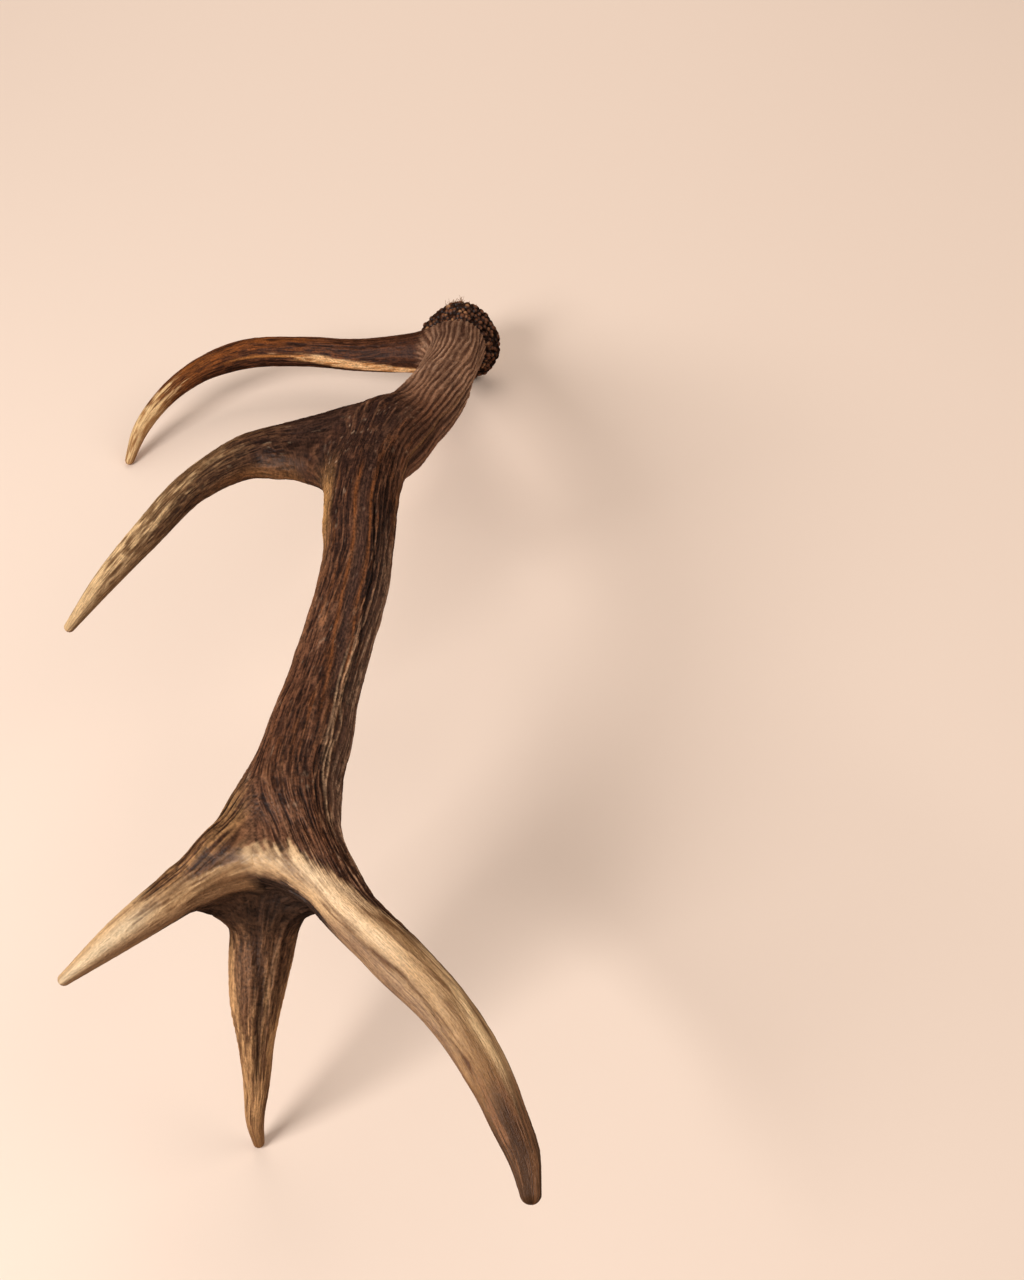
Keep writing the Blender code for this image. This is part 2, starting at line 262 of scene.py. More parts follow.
def depth(points):
    """Distance to the whole antler's surface, negative inside it: the least distance to a branch,
    rounded over the width of the fork's web where two branches are nearly as close."""
    result = beam.distance(points)
    for branch, width in zip(BRANCHES[1:], BLENDS[1:]):
        other = branch.distance(points)
        mix = np.clip(0.5 + 0.5 * (other - result) / width, 0, 1)
        result = other * (1 - mix) + result * mix - width * mix * (1 - mix)
    return result


# ---- Skin of the bone
# While the antler grows, blood vessels in its velvet leave lengthwise furrows between rounded ridges.
# Bark and soil then stain the furrows dark, and rubbing wears the ridges and the tips pale.
def ramp(low, high, x):
    """0 before low, 1 past high, and 3t^2-2t^3 between them."""
    t = np.clip((x - low) / (high - low), 0, 1)
    return t * t * (3 - 2 * t)


def hump(x, centre, half_width):
    """A bell of height 1 round the centre: exp of minus the square of the distance in half widths."""
    return np.exp(-((x - centre) / half_width) ** 2)


def streaks(s, angle, around, length, seed):
    """Random field from -1 to 1, with a number of cells round the branch, each a length in mm along
    it: a lattice of seeded values, joined by 3t^2-2t^3 both ways and closed round the branch."""
    cells = 600                  # along the branch, more than any field has
    values = np.random.default_rng(seed).uniform(-1, 1, (cells, around))
    a = angle / (2 * np.pi) % 1 * around
    b = (s / length + 7) % (cells - 2)
    i, j = np.floor(a).astype(int), np.floor(b).astype(int)
    u, v = ramp(0, 1, a - i), ramp(0, 1, b - j)
    low = values[j, i % around] * (1 - u) + values[j, (i + 1) % around] * u
    high = values[j + 1, i % around] * (1 - u) + values[j + 1, (i + 1) % around] * u
    return low * (1 - v) + high * v


def furrows(s, angle, girth, seed):
    """Swell, crests, strands, wrinkles and blots of a branch, by its thickest radius in mm. The angle
    wanders along it. Crests stand 4 mm apart, on a cosine round the branch whose phase drifts.
    Strands are where a random field with cells 2.4 by 26 mm crosses nought, so they braid into long
    thin loops, and wrinkles are the same with cells 1.2 by 8 mm. Blots are soft spots, 4 and 1.4 mm."""
    wander = (0.16 * streaks(s, angle, 4, 110, seed) + 0.035 * streaks(s, angle, 11, 36, seed + 1)
              + 0.25 / girth * streaks(s, angle, round(1.5 * girth), 12, seed + 2))
    turned = angle + wander
    swell = streaks(s, turned, round(0.5 * girth), 90, seed + 3)
    phase = 2.6 * streaks(s, turned, round(0.6 * girth), 70, seed + 4)
    crest = ramp(-0.7, 0.95, np.cos(round(1.5 * girth) * turned + phase)) ** 1.5
    strand = np.exp(-(streaks(s, turned, round(2.6 * girth), 26, seed + 5) / 0.22) ** 2)
    wrinkle = np.exp(-(streaks(s, turned, round(5.2 * girth), 8, seed + 6) / 0.34) ** 2)
    blot = (0.55 * streaks(s, turned, round(1.5 * girth), 38, seed + 7)
            + 0.55 * streaks(s, turned, round(4.5 * girth), 8, seed + 8))
    return swell, crest, strand, wrinkle, blot


def line_at(s, places):
    """Degrees round the branch of a line drawn through places, each a length in mm and degrees."""
    return np.interp(s, *np.array(places).T)


def trace(s, turn, places, half_width, fade=14):
    """A bell across the branch, some degrees wide, that follows a line and fades at its ends."""
    first, last = places[0][0], places[-1][0]
    ends = ramp(first - fade, first + fade, s) * ramp(last + fade, last - fade, s)
    return ends * hump(turn, line_at(s, places), half_width)


def flecks(s, angle, girth, seed):
    """Light specks 1.4 mm wide, where a fine random field is high, in patches of a coarse one:
    grey-white flecks and scratches on the bone, partly painted sheen."""
    fine = streaks(s, angle, round(4.5 * girth), 2.2, seed)
    patch = streaks(s, angle, girth, 14, seed + 1)
    return ramp(0.66, 0.85, fine) * ramp(-0.2, 0.7, patch)


def mixed(low, high, share):
    """Colours between low and high, by a share for each point."""
    low, high = (np.array(linear(c)[:3]) if isinstance(c, str) else c for c in (low, high))
    return low * (1 - share[:, None]) + high * share[:, None]


def stained(colour, stains):
    """A colour under stains that are laid on in turn, each a colour and its share for each point."""
    for stain, share in stains:
        colour = mixed(colour, stain, share)
    return colour


TAKEOVER = 12       # past a fork, the new branch's skin takes over within this, mm
grown = []          # each branch that has its skin, with the function that gives it


def skin_at(points):
    """Relief in mm, colour and coarseness of the antler's skin, in a column each for relief, red,
    green, blue and coarse."""
    branch, own_skin = grown[0]
    nearest, s, angle = branch.place(points)
    skin = own_skin(s, angle)
    for branch, own_skin in grown[1:]:
        distance, s, angle = branch.place(points)
        share = ramp(0, TAKEOVER, nearest - distance)
        at = np.flatnonzero(share)
        skin[at] += share[at, None] * (own_skin(s[at], angle[at]) - skin[at])
        nearest = np.minimum(nearest, distance)
    return skin


WEB_REACH = 34      # how far past a branch's own radius a fork's web can stand, mm
TIP_ROWS = 10
FIRST_ROUNDS, LAST_ROUNDS = 28, 3


def grown_surface(branch, columns, row_length):
    """Grid of points on the antler's surface round one branch: from each place on the branch's line,
    rays go out square to it until they leave the bone, and round the tip they lean over to its end.
    Each round makes a ray longer or shorter by its end's distance to the surface, first for every
    fourth row and third column, and then, filled in between them, for all."""
    rows = round(branch.length / row_length)
    s = np.concatenate([np.linspace(0, branch.length, rows), np.full(TIP_ROWS, branch.length)])
    lean = np.concatenate([np.zeros(rows), np.linspace(0, np.pi / 2, TIP_ROWS + 1)[1:]])
    angle = np.arange(columns) * 2 * np.pi / columns
    centre, radius, tangent, up, side = branch.station(s)
    around = up[:, None] * np.cos(angle)[:, None] + side[:, None] * np.sin(angle)[:, None]
    way = around * np.cos(lean)[:, None, None] + tangent[:, None] * np.sin(lean)[:, None, None]
    longest = (radius + WEB_REACH)[:, None]
    thin = np.append(np.arange(0, len(s) - 1, 4), len(s) - 1)
    thin_way = way[thin][:, ::3]
    reach = np.repeat(radius[thin, None] * 0.5, thin_way.shape[1], axis=1)
    for _ in range(FIRST_ROUNDS):
        outside = depth((centre[thin, None] + reach[..., None] * thin_way).reshape(-1, 3))
        reach = np.minimum(reach - outside.reshape(reach.shape), longest[thin])
    closed = np.concatenate([reach, reach[:, :1]], axis=1)
    filled = np.stack([np.interp(np.arange(len(s)), thin, column) for column in closed.T], axis=1)
    ray = np.arange(closed.shape[1]) * 3
    reach = np.stack([np.interp(np.arange(columns), ray, row) for row in filled])
    for _ in range(LAST_ROUNDS):
        outside = depth((centre[:, None] + reach[..., None] * way).reshape(-1, 3))
        reach = np.minimum(reach - 0.9 * outside.reshape(reach.shape), longest)
    return centre[:, None] + reach[..., None] * way, s, angle


def grid_normals(points):
    """Outward directions on a grid closed round its columns: the cross product of its two slopes."""
    wrapped = np.concatenate([points[:, -1:], points, points[:, :1]], axis=1)
    normal = np.cross(wrapped[:, 2:] - wrapped[:, :-2], np.gradient(points, axis=0))
    return normal / np.maximum(np.linalg.norm(normal, axis=-1, keepdims=True), 1e-12)


BOX_MARGIN = 0.05   # left between the skin and the CAD model's box, mm
LOW, HIGH = np.array(cad_box[0]) * 1000 + BOX_MARGIN, np.array(cad_box[1]) * 1000 - BOX_MARGIN
SINK = 6            # how far a branch sinks out of sight inside another, mm
ROOT_SINK = 3       # and how far its own first 5 mm sink, mm


def dressed(branch, columns, row_length):
    """The branch's grid with its skin on, in mm, the colour, coarseness and grain of each point, and
    the length of each row. The grain is a place in a straightened branch. Where another branch is
    nearer, the grid sinks out of sight."""
    points, s, angle = grown_surface(branch, columns, row_length)
    flat = points.reshape(-1, 3)
    others = np.min([b.distance(flat) for b in BRANCHES[:5] if b is not branch], axis=0)
    sink = np.clip(0.35 * (branch.distance(flat) - others), 0, SINK)
    if branch is not beam:
        sink = sink + np.repeat(ROOT_SINK * ramp(5, 0, s), columns)
    skin = skin_at(flat)
    flat = flat + (skin[:, 0] - sink)[:, None] * grid_normals(points).reshape(-1, 3)
    flat = np.clip(flat, LOW, HIGH)
    girth = branch.radius.max()
    along = np.broadcast_to(s[:, None], points.shape[:2])
    turn = np.broadcast_to(angle, points.shape[:2])
    grain = np.stack([girth * np.cos(turn), girth * np.sin(turn), along], axis=-1)
    return flat.reshape(points.shape), np.hstack([skin[:, 1:], grain.reshape(-1, 3)]), s


def grid_object(name, points, marks, material, slot, rows=slice(None)):
    """A closed object from some rows of a grid of points in mm whose columns go round: quads between
    the rows, and a fan over each end. Its marks are the colour, coarseness and grain of each point."""
    normals = grid_normals(points)[rows]
    marks = marks.reshape(*points.shape[:2], -1)[rows]
    points = points[rows]
    count, columns = points.shape[:2]
    ends = np.stack([points[0].mean(0), points[-1].mean(0)])
    way = unit(np.stack([ends[0] - points[2].mean(0), ends[1] - points[-3].mean(0)]))
    index = np.arange(count * columns).reshape(count, columns)
    a, b = index[:-1], np.roll(index[:-1], -1, axis=1)
    quads = np.stack([a, b, np.roll(index[1:], -1, axis=1), index[1:]], axis=-1).reshape(-1, 4)
    first, last = np.full(columns, count * columns), np.full(columns, count * columns + 1)
    start = np.stack([index[0], first, np.roll(index[0], -1)], axis=-1)
    end = np.stack([np.roll(index[-1], -1), last, index[-1]], axis=-1)
    faces = quads.tolist() + start.tolist() + end.tolist()
    mesh = bpy.data.meshes.new(name)
    mesh.from_pydata(np.concatenate([points.reshape(-1, 3), ends]) * 0.001, [], faces)
    mesh.shade_smooth()
    mesh.normals_split_custom_set_from_vertices(np.concatenate([normals.reshape(-1, 3), way]))
    marks = np.concatenate([marks.reshape(count * columns, -1), marks[0, :1], marks[-1, :1]])
    stain = np.hstack([marks[:, :3], np.ones((len(marks), 1))])
    for title, kind, field, values in (("stain", "FLOAT_COLOR", "color", stain),
                                       ("coarse", "FLOAT", "value", marks[:, 3]),
                                       ("grain", "FLOAT_VECTOR", "vector", marks[:, 4:] * 0.001)):
        mesh.attributes.new(title, kind, "POINT").data.foreach_set(field, np.ravel(values))
    mesh.materials.append(material)
    made = bpy.data.objects.new(name, mesh)
    bpy.context.collection.objects.link(made)
    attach(made, "root")
    return made


# ---- Beam
# The main beam runs from the burr to the crown and ends as the crown's rear tine. Its furrows are the
# deepest, with one wide smooth groove along its top, and its rear tine is rubbed pale.
# Each line below is drawn through places on the bone: a length in mm and degrees round it from the top.
GROOVE = [(320, -37), (357, -24), (378, -17), (398, -12), (444, -12), (487, -12), (504, -15),
          (522, -22), (560, -32)]
SIDE_GROOVE = [(205, -84), (279, -89), (339, -87), (400, -98)]
SIDE_CREST = [(215, -72), (257, -76), (348, -77), (393, -87), (470, -80)]
OUTER_CREST = [(240, -106), (300, -106), (350, -106), (400, -116), (470, -112)]
SLIT = [(440, -32), (465, -35), (497, -41), (507, -47), (535, -55), (575, -62)]
LOOPS = [[(527, -43), (547, -42), (563, -44), (576, -41), (586, -47), (600, -46), (622, -50)],
         [(540, -47), (559, -46), (570, -50), (577, -56), (588, -50), (604, -54), (640, -50)],
         [(534, -34), (552, -36), (566, -38), (580, -38), (592, -42)]]
RIM_EDGE = [(636, 80), (642, 52), (648, 34), (662, 12), (671, -4), (682, -22), (696, -33),
            (712, -46), (750, -80)]
RIM_LOWER = [(640, 78), (647, 73), (657, 64), (666, 67), (681, 70), (697, 84)]
RIM_STREAK = [(40, 655), (50, 647), (59, 643), (70, 642), (84, 637)]      # here degrees, then length
DARK_STREAK = [(696, -4), (710, -30), (722, -52)]
# The cream band along this line is a painted highlight on the pale rim.
CREAM_HIGHLIGHT = [(655, 34), (680, 24), (707, 19), (722, 18)]
# The yellow ridge along this line is raised, and its pale yellow is partly a painted highlight.
YELLOW_RIDGE = [(722, -58), (734, -52), (748, -39), (766, -22), (786, -28)]
BROWN_LINE = [(696, 50), (712, 46), (728, 36), (745, 42), (762, 54), (777, 48), (786, 60)]
# The purplish darkening along the rear tine's lower edge, drawn along this line, is painted shade.
PURPLE_EDGE = [(672, 74), (684, 62), (696, 52), (714, 50), (741, 56), (764, 62), (784, 78)]
# Low swellings: height in mm, length and half width along the beam, degrees and half width round it.
SWELLINGS = [(2.0, 668, 20, -66, 28), (1.3, 310, 50, -112, 28), (1.5, 362, 20, -108, 24),
             (1.6, 322, 30, 25, 30)]


def groove_border(s, turn):
    """The two amber lines that run along the wide groove, 13 degrees to each side of it."""
    at = line_at(s, GROOVE)
    both = hump(turn, at + 13, 3) + hump(turn, at - 13.5, 2.5)
    return both * ramp(405, 435, s) * ramp(590, 540, s)


def pale_bone(s, turn, past_edge, wrinkle, strand, blot, drift):
    """Colours of the rubbed rim and the rear tine: tan and cream bands along the fibre, a cream band
    that is painted highlight and a yellow ridge whose colour is partly painted highlight, with brown
    lines in between, painted shade on the rim's lower side and by the rim's edge, a purplish lower edge
    that is painted shade, and a brown end."""
    long_band = streaks(s, np.radians(turn), 17, 55, 47)
    tone = 0.35 * blot + 0.6 * long_band + 0.3 * drift + 0.25 * (wrinkle - 0.5)
    rim = ramp(706, 682, s)
    thread = ramp(-0.1, -0.45, blot + 0.5 * long_band)
    rim_streak = hump(s, line_at(turn, RIM_STREAK) + 3 * blot, 1.9) * ramp(34, 46, turn)
    brown_marks = (0.9 * trace(s, turn, DARK_STREAK, 11) + 0.8 * trace(s, turn, BROWN_LINE, 6)
                   + 0.8 * hump(s, 777, 4) * hump(turn, 48, 9) + 0.9 * rim_streak)
    lower = ramp(-10, 10, turn - line_at(s, PURPLE_EDGE) + 14 * blot)
    shaded = ramp(40, 14, past_edge) * ramp(655, 672, s) * ramp(712, 690, s)
    tip = ramp(778, 808, s + 14 * blot)
    return stained(mixed("#85603c", "#cba275", ramp(-0.55, 0.55, tone)), (
        # painted highlight: a cream band along the rim
        ("#ecc9a0", 0.85 * trace(s, turn, CREAM_HIGHLIGHT, 17) * (0.6 + 0.4 * wrinkle)),
        ("#906439", 0.8 * ramp(745, 790, s) * ramp(-30, 20, turn)),
        # pale yellow on the raised ridge, partly a painted highlight
        ("#dcb686", 0.85 * trace(s, turn, YELLOW_RIDGE, 12)),
        ("#e2c096", 0.55 * rim * hump(past_edge, 14, 12)),
        # painted shade on the rim's lower side
        ("#83603f", 0.65 * rim * ramp(20, 58, past_edge) * ramp(676, 656, s)),
        ("#7a583a", 0.7 * rim * ramp(0.15, -0.4, blot + 0.4 * long_band)
         * (1 - 0.9 * trace(s, turn, CREAM_HIGHLIGHT, 18))),
        ("#6f4b31", (0.3 + 0.3 * ramp(660, 720, s)) * thread
         * (1 - 0.7 * trace(s, turn, CREAM_HIGHLIGHT, 15))),
        ("#5e381d", np.clip(brown_marks * (0.65 + 0.35 * strand), 0, 1)),
        # painted shade along the rear tine's lower edge, in purplish brown
        ("#74533f", 0.85 * lower * ramp(672, 690, s) * (0.65 + 0.35 * wrinkle)),
        # painted shade by the rim's edge
        ("#74533f", 0.4 * shaded * (1 - wrinkle)),
        (mixed("#4c301d", "#86593a", ramp(-0.2, 0.4, blot)), 0.9 * tip),
        ("#40240f", 0.8 * hump(s, 806, 14) * hump(turn, 9, 20))))


def beam_skin(s, angle):
    """Raised crests, strands and wrinkles, the smooth grooves and single lines as bells along their
    places, and colours from dark furrows to tan crests. The crown's rim and the rear tine are pale."""
    swell, crest, strand, wrinkle, blot = furrows(s, angle, 21, 1)
    drift = streaks(s, angle, 5, 70, 41)
    turn = np.degrees(angle) + 2.5 * streaks(s, angle, 9, 22, 45)
    groove = trace(s, turn, GROOVE, 10, 25)
    side_groove = trace(s, turn, SIDE_GROOVE, 6.5, 25)
    smooth = np.clip(groove + side_groove, 0, 1)
    border = np.clip(groove_border(s, turn), 0, 1)
    slit = trace(s, turn, SLIT, 2.0)
    loops = np.max([trace(s, turn, places, 1.7) for places in LOOPS], axis=0)
    side_crest = trace(s, turn, SIDE_CREST, 2.6, 25)
    outer_crest = trace(s, turn, OUTER_CREST, 7, 25)
    burr_end = ramp(340, 250, s)
    ribbed_to = np.interp(turn, [-80, -20, 30], [450, 390, 320])
    ribs = ramp(ribbed_to, ribbed_to - 90, s)
    right = ramp(-22, -50, turn + 8 * drift) * ramp(420, 520, s)
    fork = hump(s, 385, 60) * ramp(-28, 0, turn)
    past_edge = turn - line_at(s, RIM_EDGE)
    below = turn - line_at(s, RIM_LOWER)
    rubbed = ramp(-12, 12, past_edge + 13 * blot + 7 * (strand - 0.4)) * ramp(632, 642, s)
    rubbed *= np.maximum(ramp(680, 698, s), ramp(8, -6, below + 4 * blot))

    # The height of the skin, mm: the furrows, the drawn lines, then the broad swells and dips.
    rough = (1 - 0.85 * smooth) * (1 - 0.8 * rubbed)
    relief = rough * (0.2 * swell + (0.15 + 0.25 * right + 0.4 * burr_end) * crest + 0.3 * strand
                      + 0.34 * wrinkle - 0.55 - 0.2 * burr_end) - 1.1 * groove - 0.8 * side_groove
    relief += 0.35 * side_crest + 0.6 * loops * (0.6 + 0.4 * wrinkle) - 1.0 * slit
    relief += 0.35 * trace(s, turn, YELLOW_RIDGE, 10) - 0.4 * trace(s, turn, BROWN_LINE, 4)
    for height, at, length, side, width in SWELLINGS:
        relief += height * hump(s, at, length) * hump(turn, side, width)
    relief -= 1.2 * ramp(30, 70, turn) * hump(s, 430, 28)
    relief += 0.55 * ramp(25, 60, turn) * ramp(455, 485, s) * ramp(560, 530, s)
    relief -= 0.9 * ramp(25, 60, turn) * hump(s, 590, 26)
    relief -= 0.9 * ramp(-50, -80, turn) * hump(s, 225, 35)
    relief += 1.2 * hump(turn, 80, 35) * ramp(700, 720, s) * ramp(796, 780, s)

    # The ribbed part by the burr: paler, with long braids between its ribs.
    fine = 0.6 * wrinkle + 0.4 * strand
    uneven = 0.5 + 0.5 * ramp(-0.6, 0.3, streaks(s, angle, 15, 60, 49))
    braid = np.exp(-(streaks(s, angle, 36, 90, 50) / 0.35) ** 2)
    rib = np.clip((0.8 * ramp(0, 0.4, crest) + 0.3 * braid) * uneven + 0.15 * (fine - 0.5)
                  + 0.15 * drift, 0, 1)
    ribbed = mixed(mixed("#5c3b2b", "#77533f", fine), mixed("#a87859", "#c2926f", fine), rib)
    ribbed = stained(ribbed, (
        # pale rib tops, partly rubbed wear and partly a painted highlight
        ("#d8b095", 0.4 * uneven * ramp(0.45, 1, crest) * (0.3 + 0.7 * strand)),
        (mixed("#472b1e", "#96654a", rib), ramp(225, 350, s)),
        ("#3a231a", 0.55 * ramp(120, 50, s) * (1 - 0.6 * braid))))

    # The dark stain in the furrows, with amber blots and borders.
    tops = np.clip(0.25 * crest + 0.3 * strand + 0.5 * wrinkle + 0.12 * swell - 0.02
                   - 0.3 * smooth, 0, 1)
    amber = (ramp(0.1, 0.5, blot) * (1 - smooth) * (1 - 0.7 * fork) * (1 - 0.8 * burr_end)
             * (1 - 0.5 * ramp(560, 610, s)))
    brown = stained(mixed("#2a160d", "#623c28", ramp(0.05, 0.95, tops)), (
        (mixed("#432a20", "#5d3e2e", fine), 0.85 * smooth),
        (ribbed, 0.9 * ribs * (1 - 0.75 * smooth)),
        ("#33201a", 0.75 * fork * (1 - 0.4 * fine)),
        ("#7c4620", np.maximum(0.5 * amber * (0.4 + 0.6 * fine), 0.75 * border)),
        ("#80583f", 0.55 * ramp(585, 640, s) * ramp(-30, 0, turn) * fine)))

    # What is rubbed pale on it: crests, loops, the amber crotch of the trez fork and both edges; and
    # the painted shade under the rim.
    tan_share = np.clip(0.22 + 0.5 * right - 0.1 * fork, 0, 0.95) * (1 - 0.9 * smooth)
    tan = mixed("#7b5136", "#b38a68", ramp(-0.2, 0.8, 0.6 * right + 0.4 * drift + 0.3 * blot))
    line = np.maximum((1 - burr_end) * strand, 0.45 * crest)
    crotch = hump(s, 438, 26) * ramp(38, 74, turn + 12 * blot)
    edge = ramp(-42, -72, turn + 8 * blot) * ramp(430, 500, s) * ramp(668, 640, s)
    left = ramp(35, 70, turn + 12 * blot) * ramp(440, 500, s) * (0.4 + 0.6 * fine)
    # Under the rim's lower edge the beam is painted near black: painted shade of the hollow under the
    # rim.
    under = ramp(-6, 14, below) * ramp(560, 630, s) * ramp(704, 690, s)
    worn = stained(brown, (
        (tan, tan_share * ramp(0.18, 0.9, line * (0.45 + 0.55 * wrinkle))),
        ("#94683f", 0.55 * side_crest * (0.5 + 0.5 * strand)),
        ("#86604a", 0.7 * outer_crest * (0.3 + 0.7 * strand)),
        ("#c69d78", 0.85 * loops * (0.5 + 0.5 * wrinkle)),
        ("#1a0c07", 0.85 * slit),
        ("#cc9459", 0.95 * crotch * (0.6 + 0.4 * fine)),
        (mixed("#5e4030", "#a98468", strand * (0.4 + 0.6 * wrinkle)), 0.85 * edge),
        ("#8c6145", 0.5 * left),
        # pale flecks, partly painted sheen, more of them round the trez fork
        ("#a98a70", (0.35 + 0.25 * fork) * flecks(s, angle, 21, 46)),
        # painted shade in the hollow under the rim
        ("#1d100a", 0.85 * under)))
    pale = pale_bone(s, turn, past_edge, wrinkle, strand, blot, drift)
    coarse = (1 - 0.6 * rubbed) * (1 - 0.4 * ribs)
    return np.hstack([relief[:, None], mixed(worn, pale, rubbed), coarse[:, None]])


# Antler bone, grown and never worked: dense and finely pored, stained in its pores and polished by
# rubbing where it is pale, so the eye sees a dull satin with a fibrous grain. Its pores, 0.1 to 0.3 mm
# wide, are too fine to show and are drawn as fibres 1.1 by 7 mm and grit of 1.6 mm.
FIBRES, FIBRE_STRETCH, GRITS = 900, 0.16, 620    # to the metre, and a fibre's width over its length
bone, bone_shader = new_material("antler_bone")
stain_of = add_node(bone, "ShaderNodeAttribute", {"attribute_name": "stain"})
grain_of = add_node(bone, "ShaderNodeAttribute", {"attribute_name": "grain"})
coarse_of = add_node(bone, "ShaderNodeAttribute", {"attribute_name": "coarse"})
stretch = add_node(bone, "ShaderNodeMapping", {"Scale": (1, 1, FIBRE_STRETCH)},
                   {"Vector": grain_of.outputs["Vector"]})
fibre = add_node(bone, "ShaderNodeTexNoise", {"Scale": FIBRES, "Detail": 3},
                 {"Vector": stretch.outputs["Vector"]})
grit = add_node(bone, "ShaderNodeTexNoise", {"Scale": GRITS, "Detail": 2},
                {"Vector": grain_of.outputs["Vector"]})
texture = add_node(bone, "ShaderNodeMath", {"operation": "ADD"},
                   {0: fibre.outputs["Fac"], 1: grit.outputs["Fac"]})
shade = add_node(bone, "ShaderNodeMapRange",
                 {"From Min": 0.74, "From Max": 1.26, "To Min": 0.4, "To Max": 1.6},
                 {"Value": texture.outputs["Value"]})
tint = add_node(bone, "ShaderNodeMix", {"data_type": "RGBA", "blend_type": "MULTIPLY"},
                {0: coarse_of.outputs["Fac"], 6: stain_of.outputs["Color"],
                 7: shade.outputs["Result"]})
bump = add_node(bone, "ShaderNodeBump", {"Strength": 0.8, "Distance": 0.0006},
                {"Height": texture.outputs["Value"]})
gloss = add_node(bone, "ShaderNodeMapRange",
                 {"From Min": 0.3, "From Max": 1.0, "To Min": 0.42, "To Max": 0.56},
                 {"Value": coarse_of.outputs["Fac"]})
for socket, source in (("Base Color", tint.outputs[2]), ("Normal", bump.outputs["Normal"]),
                       ("Roughness", gloss.outputs["Result"])):
    bone.node_tree.links.new(source, bone_shader.inputs[socket])
bone_shader.inputs["Specular IOR Level"].default_value = 0.2

IN_BURR, TREZ_FORK, CROWN_FORK = 8, 410, 665     # where the skin starts and the pieces meet, mm
grown.append((beam, beam_skin))
beam_points, beam_marks, beam_s = dressed(beam, columns=384, row_length=1.8)
first, fork_row, crown_row = np.searchsorted(beam_s, [IN_BURR, TREZ_FORK, CROWN_FORK])
for name, node, slot, start, stop in (
        ("lower_beam_bone", "lower_beam", "dark_bone", first, fork_row + 1),
        ("upper_beam_bone", "upper_beam", "dark_bone", fork_row, crown_row + 1),
        ("rear_tine_bone", "crown_rear_tine", "tan_bone", crown_row, len(beam_s))):
    made = grid_object(name, beam_points, beam_marks, bone, slot, slice(start, stop))
    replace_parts(made, node)


# ---- Brow tine
# The first tine, right above the burr. It is redder than the beam, with a rubbed golden band along its
# lower edge, and it ends in an ivory tip on the floor.
GOLD_BAND = [(18, -122), (38, -113), (60, -97), (93, -83), (115, -76), (142, -75), (176, -70)]


def brow_skin(s, angle):
    """Low furrows that fade towards the tip, a raised golden band along the lower edge, and an ivory
    tip whose border wanders with the furrows."""
    swell, crest, strand, wrinkle, blot = furrows(s, angle, 13, 201)
    turn = np.degrees(angle)
    drift = streaks(s, angle, 4, 45, 241)
    past = s - 0.2 * np.abs(turn + 20) + 12 * drift + 24 * blot + 14 * (wrinkle - 0.5)
    worn_tip = ramp(226, 256, past)
    lower = turn - line_at(s, GOLD_BAND)
    band = (ramp(20, 9, lower + 5 * blot) * ramp(-34, -16, lower) * ramp(8, 30, s)
            * ramp(135, 92, s + 30 * blot))
    thin = hump(lower, 3, 5) * ramp(85, 110, s) * ramp(195, 160, s)
    fade = ramp(0.02, 0.4, 1 - s / brow.length)
    relief = ((0.1 + 0.9 * fade) * (1 - 0.6 * worn_tip)
              * (0.35 * swell + 0.2 * crest + 0.2 * strand + 0.2 * wrinkle - 0.35) + 0.4 * band)
    fine = 0.6 * wrinkle + 0.4 * strand
    tops = np.clip(0.2 * crest + 0.3 * strand + 0.45 * wrinkle + 0.15 * swell + 0.05, 0, 1)
    ruddy = ramp(-0.2, 0.5, blot + 0.3 * drift) * ramp(60, 120, s) * ramp(-85, -50, turn)
    brown = stained(mixed("#2c150a", "#663a21", ramp(0.05, 0.85, tops)), (
        ("#93501f", 0.75 * ruddy * (0.5 + 0.5 * fine)),
        ("#3b2014", 0.6 * ramp(70, 25, s) * (1 - band)),
        ("#c07c3e", 0.7 * thin),
        (mixed("#bb7f48", "#f0c28d", ramp(0.0, 0.9, fine)), 0.95 * band),
        ("#874c1e", 0.7 * ramp(165, 222, past) * (0.4 + 0.6 * fine))))
    mottle = 0.5 * blot + 0.5 * streaks(s, angle, 32, 5, 245)
    ivory = mixed("#a87747", "#e6bf8a", ramp(-0.5, 0.4, mottle + 0.3 * (fine - 0.45)))
    ivory = stained(ivory, (
        ("#7d5230", 0.55 * ramp(-0.1, -0.5, blot + 0.012 * (s - 262))),
        # painted shade on the lower side of the ivory tip
        ("#8a5a30", 0.6 * ramp(-50, -90, turn))))
    return np.hstack([relief[:, None], mixed(brown, ivory, worn_tip), 0.8 - 0.4 * worn_tip[:, None]])


grown.append((brow, brow_skin))
points, marks, _ = dressed(brow, columns=176, row_length=1.3)
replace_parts(grid_object("brow_tine_bone", points, marks, bone, "red_bone"), "brow_tine")
